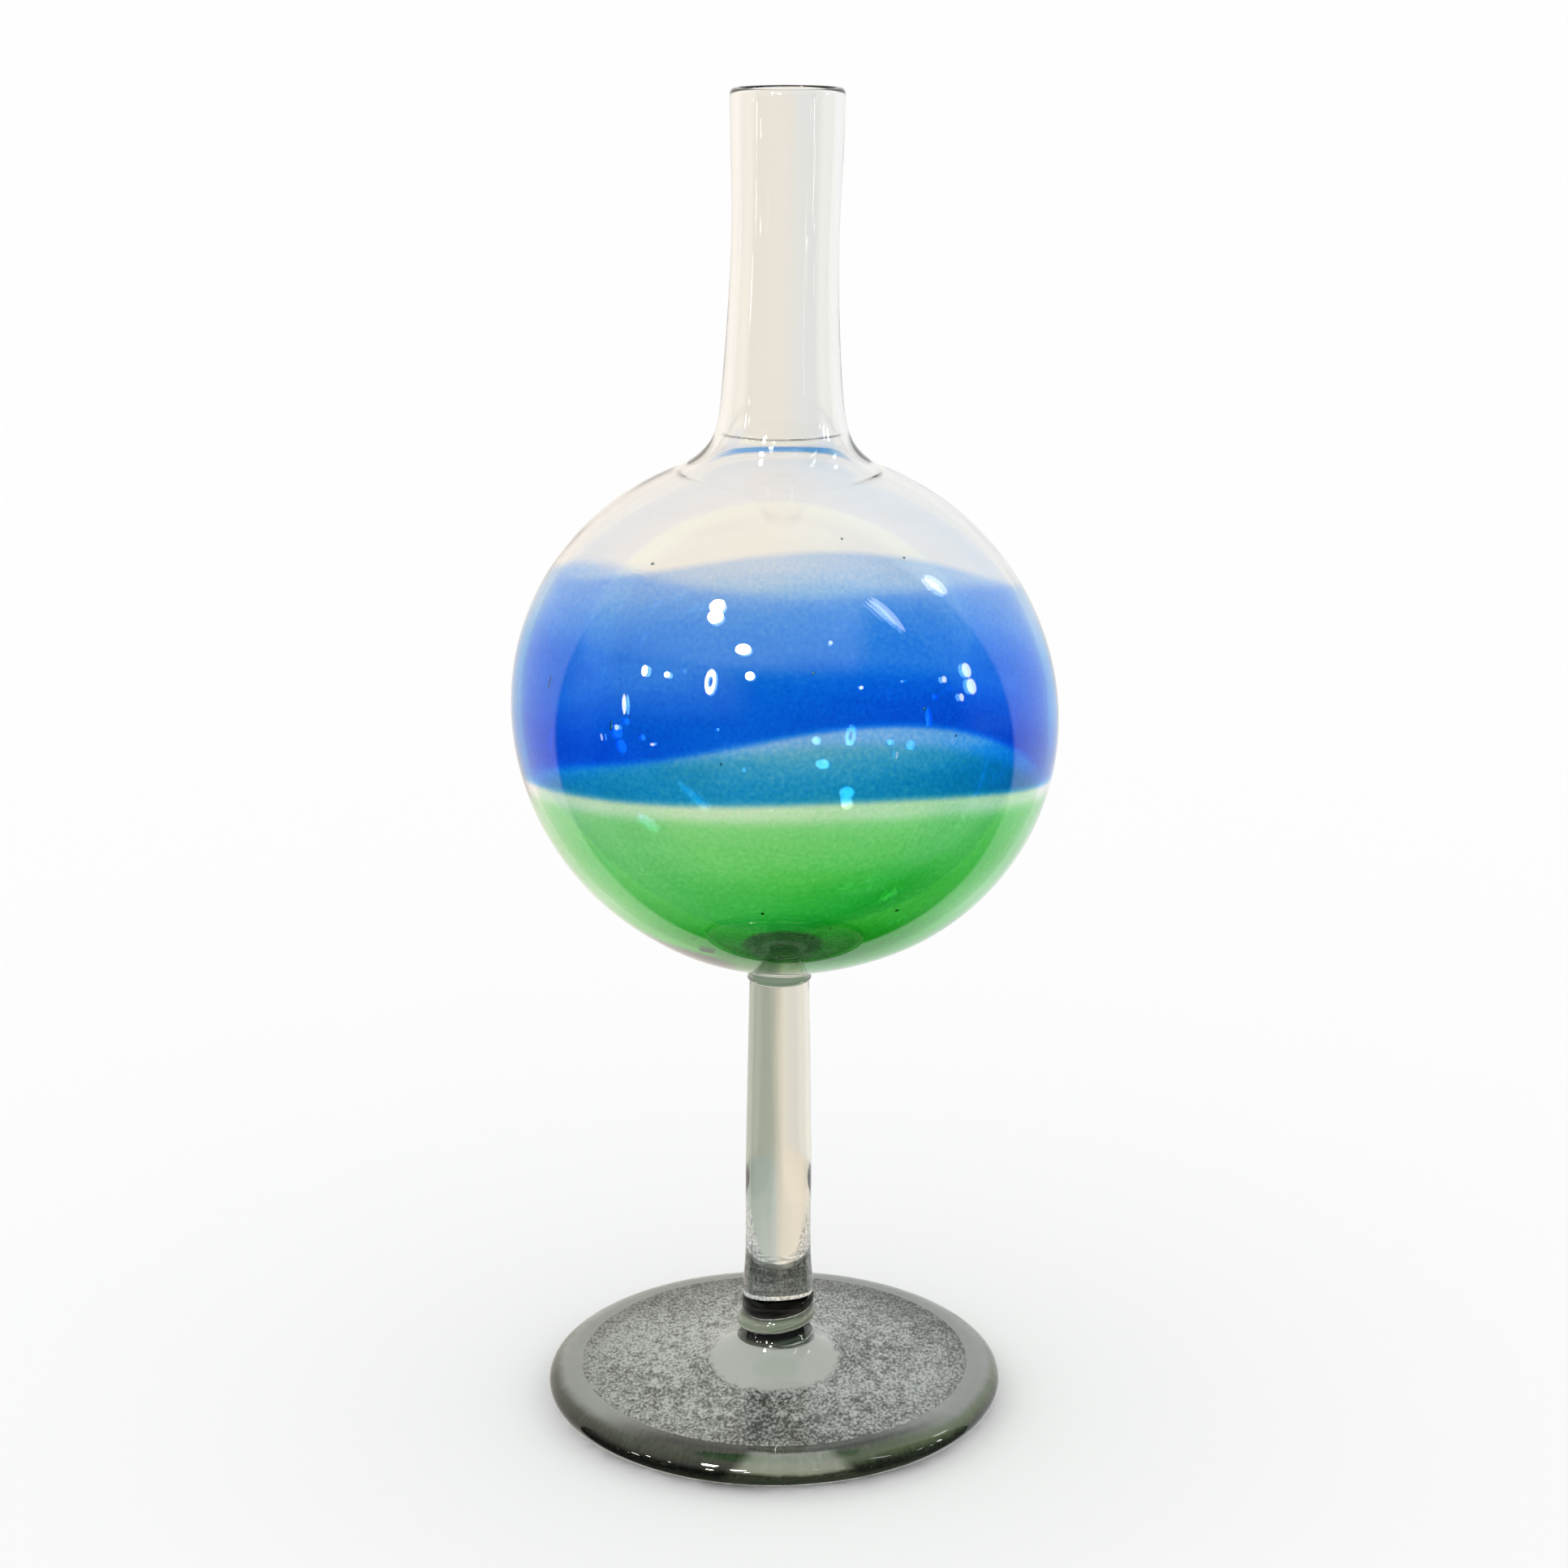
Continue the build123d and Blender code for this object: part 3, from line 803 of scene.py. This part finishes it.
def shoulder():
    steps = 50
    outer_turn = acos(FLARE_RADIUS / BULB_RADIUS)
    inner_turn = acos(INNER_FLARE_RADIUS / (BULB_RADIUS - BULB_WALL))
    outer = wall_rows(BLUE_TOP, outer_turn, 0, steps)
    flare_foot = (FLARE_RADIUS, outer[-1][0][2])
    flare_start = (-1, slope(FLARE_RADIUS))
    flare = spline([flare_foot, (NECK_ROOT_RADIUS, NECK_ROOT)], flare_start, (-ROOT_LEAN, 1), 30)
    inner = wall_rows(inner_turn, BLUE_TOP, BULB_WALL, steps)
    bore_foot = (INNER_FLARE_RADIUS, inner[0][0][2])
    bore_finish = (1, -slope(INNER_FLARE_RADIUS, BULB_WALL))
    bore = spline([(ROOT_BORE_RADIUS, NECK_ROOT), bore_foot], (ROOT_LEAN, -1), bore_finish, 30)
    rows = outer + turned(flare[1:]) + turned(bore) + inner[1:]
    bands = [(bulb_glass, steps + len(flare) - 1), (neck_joint, 1)]
    bands += [(bulb_glass, len(bore) - 1 + steps), (seam_glass, 1)]
    return build("shoulder_glass", "shoulder", rows, bands, closed=True, seeds=SHOULDER_SEEDS)


def neck():
    lip_foot = (MOUTH_RADIUS, TOP - LIP_OUTER_ROUNDING)
    outside_points = [(NECK_ROOT_RADIUS, NECK_ROOT), NECK_SWELL, NECK_WAIST, lip_foot]
    outside = spline(outside_points, (-ROOT_LEAN, 1), (0, 1), 26)
    lip_out = arc(
        (MOUTH_RADIUS - LIP_OUTER_ROUNDING, TOP - LIP_OUTER_ROUNDING),
        (LIP_OUTER_ROUNDING, LIP_OUTER_ROUNDING),
        0,
        pi / 2,
        10,
    )
    lip_in = arc(
        (MOUTH_BORE_RADIUS + LIP_INNER_ROUNDING, TOP - LIP_INNER_ROUNDING),
        (LIP_INNER_ROUNDING, LIP_INNER_ROUNDING),
        pi / 2,
        pi,
        6,
    )
    bore = line(lip_in[-1], (MOUTH_BORE_RADIUS, MOUTH_BORE_BOTTOM), 24)
    bore_swell = (NECK_SWELL[0] - NECK_WALL, NECK_SWELL[1])
    taper_points = [bore[-1], bore_swell, (ROOT_BORE_RADIUS, NECK_ROOT)]
    taper = spline(taper_points, (0, -1), (ROOT_LEAN, -1), 20)
    section = joined(outside, lip_out) + joined(lip_in, bore, taper)
    bands = [(neck_glass, len(section) - 1), (seam_glass, 1)]
    return build("neck_glass", "neck", turned(section), bands, closed=True)


def collar():
    bead_radius = STEM_TOP_RADIUS + COLLAR_BEAD
    seat_turn = -acos(COLLAR_TOP_RADIUS / BULB_RADIUS)
    seat_steps, bore_steps = 6, 3
    seat = wall_rows(-pi / 2, seat_turn, 0, seat_steps)
    seat[0] = ring(0, BULB_CENTRE - BULB_HALF_HEIGHT)
    seat_edge = (COLLAR_TOP_RADIUS, seat[-1][0][2])
    waist = (COLLAR_WAIST_RADIUS, STEM_TOP + 2 * COLLAR_BEAD)
    belly = (bead_radius, STEM_TOP + COLLAR_BEAD)
    cove = spline([seat_edge, waist], (-1, -0.6), (0, -1), 14)
    bead = spline([waist, belly, (STEM_TOP_RADIUS, STEM_TOP)], (0.4, -1), (-1, -0.3), 6)
    side = joined(cove, bead)
    base = line((STEM_TOP_RADIUS - STEM_WALL, STEM_TOP), (0, STEM_TOP), bore_steps)
    rows = seat + turned(side[1:]) + turned(base)
    bands = [(dark_joint, seat_steps), (collar_glass, len(side) - 1)]
    bands += [(seam_glass, 1), (collar_floor, bore_steps)]
    return build("collar_glass", "bulb_collar", rows, bands)


def stem():
    outside = spline(
        [
            (STEM_TOP_RADIUS, STEM_TOP),
            (STEM_SHOULDER_RADIUS, STEM_TOP - 10),
            (STEM_BELLY_RADIUS, STEM_TOP - 42),
            (STEM_BELLY_RADIUS, KNOP_TOP + 14),
            (STEM_END_RADIUS, KNOP_TOP + 2.4),
            (KNOP_SEAT_RADIUS, KNOP_TOP),
        ],
        (0.05, -1),
        (-1, -0.5),
        20,
    )
    bore_radius = STEM_BELLY_RADIUS - STEM_WALL
    side = spline(
        [
            (STEM_TOP_RADIUS - STEM_WALL, STEM_TOP),
            (STEM_SHOULDER_RADIUS - STEM_WALL, STEM_TOP - 10),
            (bore_radius, BORE_POINT_TOP),
        ],
        (0.01, -1),
        (0, -1),
        30,
    )
    point = arc((0, BORE_POINT_TOP), (bore_radius, BORE_POINT_LENGTH), 0, -pi / 2, 40)
    point[-1] = (0, BORE_END)
    base = line((KNOP_SEAT_RADIUS, KNOP_TOP), (0, KNOP_TOP), 4)
    inside = joined(side, point)
    rows = turned(reversed(inside)) + turned(outside) + turned(base[1:])
    bands = [(seam_glass, len(point) - 1), (bore_glass, len(side) - 1), (seam_glass, 1)]
    bands += [(stem_glass, len(outside) - 1), (knop_joint, len(base) - 1)]
    return build("stem_glass", "stem", rows, bands)


def knop():
    side_steps, face_steps = 24, 4
    middle = (KNOP_BOTTOM + KNOP_TOP) / 2
    bulge = (KNOP_RADIUS - KNOP_SEAT_RADIUS, (KNOP_TOP - KNOP_BOTTOM) / 2)
    side = arc((KNOP_SEAT_RADIUS, middle), bulge, -pi / 2, pi / 2, side_steps)
    base = line((0, KNOP_BOTTOM), side[0], face_steps)
    crown = line(side[-1], (0, KNOP_TOP), face_steps)
    section = joined(base, side, crown)
    bands = [(seam_glass, face_steps), (knop_glass, side_steps), (knop_joint, face_steps)]
    return build("knop_glass", "foot_knop", turned(section), bands)


def foot():
    flat_radius = FOOT_RADIUS - FOOT_NOSE_REACH
    nose_height = FOOT_THICKNESS / 2
    dish_steps, flat_steps, nose_steps, crown_steps, flare_steps, top_steps = 20, 8, 40, 20, 40, 4
    underside_nose_steps = 12
    shares = [step / dish_steps for step in range(dish_steps + 1)]
    dish = [(FOOT_DISH_RADIUS * share, FOOT_DISH_DEPTH * (1 - share**2)) for share in shares]
    flat = line(dish[-1], (flat_radius, 0), flat_steps)
    nose = arc((flat_radius, nose_height), (FOOT_NOSE_REACH, nose_height), -pi / 2, pi / 2, nose_steps)
    boss_foot = (BOSS_FOOT_RADIUS, FOOT_THICKNESS + FOOT_CROWN)
    crown = line(nose[-1], boss_foot, crown_steps)
    flare = spline([boss_foot, (KNOP_SEAT_RADIUS, KNOP_BOTTOM)], (-1, 0.04), (-0.15, 1), flare_steps)
    top = line(flare[-1], (0, KNOP_BOTTOM), top_steps)
    rows = turned(joined(dish, flat, nose, crown, flare, top))
    creased = sum(height > CREASE_BOTTOM for radius, height in flare) - 1
    bands = [(underside, dish_steps + flat_steps + underside_nose_steps)]
    bands.append((foot_edge, nose_steps - underside_nose_steps + 1))
    bands.append((foot_glass, crown_steps - 1 + flare_steps - creased))
    bands += [(crease_glass, creased), (seam_glass, top_steps)]
    return build("foot_glass", "foot", rows, bands)


green_cup()
wall_band("clear_band_glass", "clear_band", GREEN_TOP, BLUE_BOTTOM, 8)
wall_band("blue_band_glass", "blue_band", BLUE_BOTTOM, BLUE_TOP, 70, BLUE_SEEDS)
shoulder()
neck()
collar()
stem()
knop()
foot()

# Studio: a pale floor, and a room that the glass sees, bright behind the vessel and dark behind the camera

def floor():
    mesh = bmesh.new()
    bmesh.ops.create_circle(mesh, cap_ends=True, segments=96, radius=25)
    data = bpy.data.meshes.new("floor")
    mesh.to_mesh(data)
    mesh.free()
    material, nodes, links, shader = node_material("pale_floor")
    shader.inputs["Base Color"].default_value = (0.9, 0.9, 0.9, 1)
    shader.inputs["Roughness"].default_value = 0.9
    shader.inputs["Specular IOR Level"].default_value = 0.0
    data.materials.append(material)
    plane = bpy.data.objects.new("floor", data)
    plane.location.z = -0.0002
    plane.visible_glossy = False
    plane.visible_transmission = False
    bpy.context.scene.collection.objects.link(plane)


floor()

# Lamps and windows of the room, as the vessel sees them: direction (right, up, towards the camera), then
# half-width in degrees and brightness for round lamps, and for long ones half-width, half-height, lean,
# brightness and the share of the width that is a dark hole. The wall behind the vessel is bright on the far
# side of a plane, given by its direction and limit
ROUND_LAMPS = (
    ((-0.39, 0.70, 0.60), 2.8, 300),
    ((-0.41, 0.64, 0.65), 2.9, 160),
    ((-0.22, 0.26, 0.94), 1.9, 60),
    ((-0.73, 0.24, 0.64), 1.3, 50),
    ((0.96, 0.27, 0.10), 2.4, 14),
    ((0.98, 0.18, 0.09), 2.6, 14),
    ((0.97, 0.12, 0.20), 1.3, 14),
    ((0.92, 0.23, 0.32), 1.2, 14),
    ((0.33, 0.50, 0.80), 0.9, 12),
    ((0.53, 0.19, 0.83), 0.8, 20),
    ((-0.95, -0.112, 0.29), 1.1, 12),
)
LONG_LAMPS = (
    ((-0.26, 0.45, 0.86), 2.9, 2.2, 0, 200, 0),
    ((-0.83, 0.25, 0.49), 1.5, 2.1, 0, 50, 0),
    ((-0.48, 0.21, 0.85), 2.3, 5.2, -4, 40, 0.45),
    ((-0.93, 0.03, 0.37), 1.0, 3.6, 0, 20, 0),
    ((0.64, 0.64, 0.44), 1.5, 8.0, 22, 6, 0),
    ((0.60, 0.65, 0.46), 0.8, 6.5, 24, 5, 0),
    ((0.56, 0.66, 0.48), 0.5, 5.0, 26, 4, 0),
    ((0.74, 0.67, -0.06), 2.8, 4.2, 25, 6, 0),
    ((-0.815, -0.235, 0.53), 1.0, 0.6, 0, 14, 0),
    ((0.72, -0.265, 0.64), 0.6, 1.6, 0, 5, 0),
    ((-0.976, -0.165, 0.14), 0.7, 1.2, 0, 8, 0),
)
BRIGHT_SIDE = Vector((0, 0.429, -0.903))
BRIGHT_LIMIT = 0.284
FLOOR_LIGHT = 1.1
CEILING_LIGHT = 0.8
DARK_SIDE_LIGHT = 0.03
WARM_LEFT = (1.0, 0.95, 0.88)
COOL_RIGHT = (0.93, 0.95, 0.95)


def world():
    """White light on the floor. Glass sees the room instead, laid out relative to the camera."""
    studio = bpy.data.worlds.new("studio")
    bpy.context.scene.world = studio
    studio.use_nodes = True
    nodes, links = studio.node_tree.nodes, studio.node_tree.links

    def calc(operation, *values):
        return math_node(nodes, links, operation, *values)

    def step(value, low, high):
        return ranged(nodes, links, value, low, high)

    camera_space = nodes.new("ShaderNodeTexCoord").outputs["Camera"]
    aim = vector_node(nodes, links, "NORMALIZE", camera_space)
    right, up, away = apart(nodes, links, aim)

    def facing(direction):
        """How closely the sight line points along a direction, from -1 to 1."""
        x, y, z = Vector(direction).normalized()
        return vector_node(nodes, links, "DOT_PRODUCT", aim, (x, y, -z))

    path = nodes.new("ShaderNodeLightPath")
    behind = facing(BRIGHT_SIDE)
    mirrored = step(behind, BRIGHT_LIMIT - 0.03, BRIGHT_LIMIT + 0.03)
    refracted = step(behind, -0.2, 0.0)
    change = calc("SUBTRACT", refracted, mirrored)
    wall = calc("MULTIPLY_ADD", path.outputs["Is Transmission Ray"], change, mirrored)
    high_window = calc("MULTIPLY", step(up, 0.24, 0.40), step(right, 0.62, 0.40))
    left_window = calc("MULTIPLY", step(up, -0.15, 0.25), step(right, -0.15, -0.45))
    ceiling = calc("MAXIMUM", high_window, calc("MULTIPLY", left_window, 0.5))
    ceiling = calc("MULTIPLY", ceiling, step(away, 0.3, 0.0))
    lamps = 0.0
    for direction, width, strength in ROUND_LAMPS:
        spot = step(facing(direction), cos(radians(width * 1.1)), cos(radians(width * 0.8)))
        lamps = calc("MULTIPLY_ADD", spot, strength, lamps)
    for direction, width, height, lean, strength, hole in LONG_LAMPS:
        towards = Vector(direction).normalized()
        across = Vector((0, 1, 0)).cross(towards).normalized()
        across.rotate(Quaternion(towards, radians(lean)))
        offset = calc("DIVIDE", facing(across), sin(radians(width)))
        rise = calc("DIVIDE", facing(towards.cross(across)), sin(radians(height)))
        spread = calc("MULTIPLY_ADD", rise, rise, calc("MULTIPLY", offset, offset))
        spot = calc("MULTIPLY", step(spread, 1.2, 0.8), calc("GREATER_THAN", facing(towards), 0))
        if hole:
            spot = calc("MULTIPLY", spot, step(spread, hole**2 - 0.05, hole**2 + 0.05))
        lamps = calc("MULTIPLY_ADD", spot, strength, lamps)
    glow = calc("MULTIPLY_ADD", ceiling, CEILING_LIGHT, DARK_SIDE_LIGHT)
    room = calc("ADD", calc("MAXIMUM", wall, glow), lamps)

    through = calc("MAXIMUM", path.outputs["Is Glossy Ray"], path.outputs["Is Transmission Ray"])
    direct = calc("LESS_THAN", path.outputs["Diffuse Depth"], 0.5)
    glass_sees = calc("MULTIPLY", through, direct)
    strength = nodes.new("ShaderNodeMix")
    strength.inputs["A"].default_value = FLOOR_LIGHT
    links.new(room, strength.inputs["B"])
    links.new(glass_sees, strength.inputs["Factor"])
    tone = mixed(nodes, links, step(right, -0.01, 0.05), WARM_LEFT, COOL_RIGHT)
    background = nodes["Background"]
    links.new(mixed(nodes, links, glass_sees, (1, 1, 1), tone), background.inputs["Color"])
    links.new(strength.outputs["Result"], background.inputs["Strength"])


world()


CAMERA_PLACE = (0, -0.62386, 0.30782)
CAMERA_ELEVATION = 15.2436
SENSOR_WIDTH = 36
LENS_LENGTH = 71.04


def camera():
    data = bpy.data.cameras.new("camera")
    data.sensor_width = SENSOR_WIDTH
    data.lens = LENS_LENGTH
    data.clip_end = 100
    view = bpy.data.objects.new("camera", data)
    view.location = CAMERA_PLACE
    view.rotation_euler = (radians(90 - CAMERA_ELEVATION), 0, 0)
    bpy.context.scene.collection.objects.link(view)
    bpy.context.scene.camera = view


camera()
bpy.context.scene.view_settings.view_transform = "Standard"
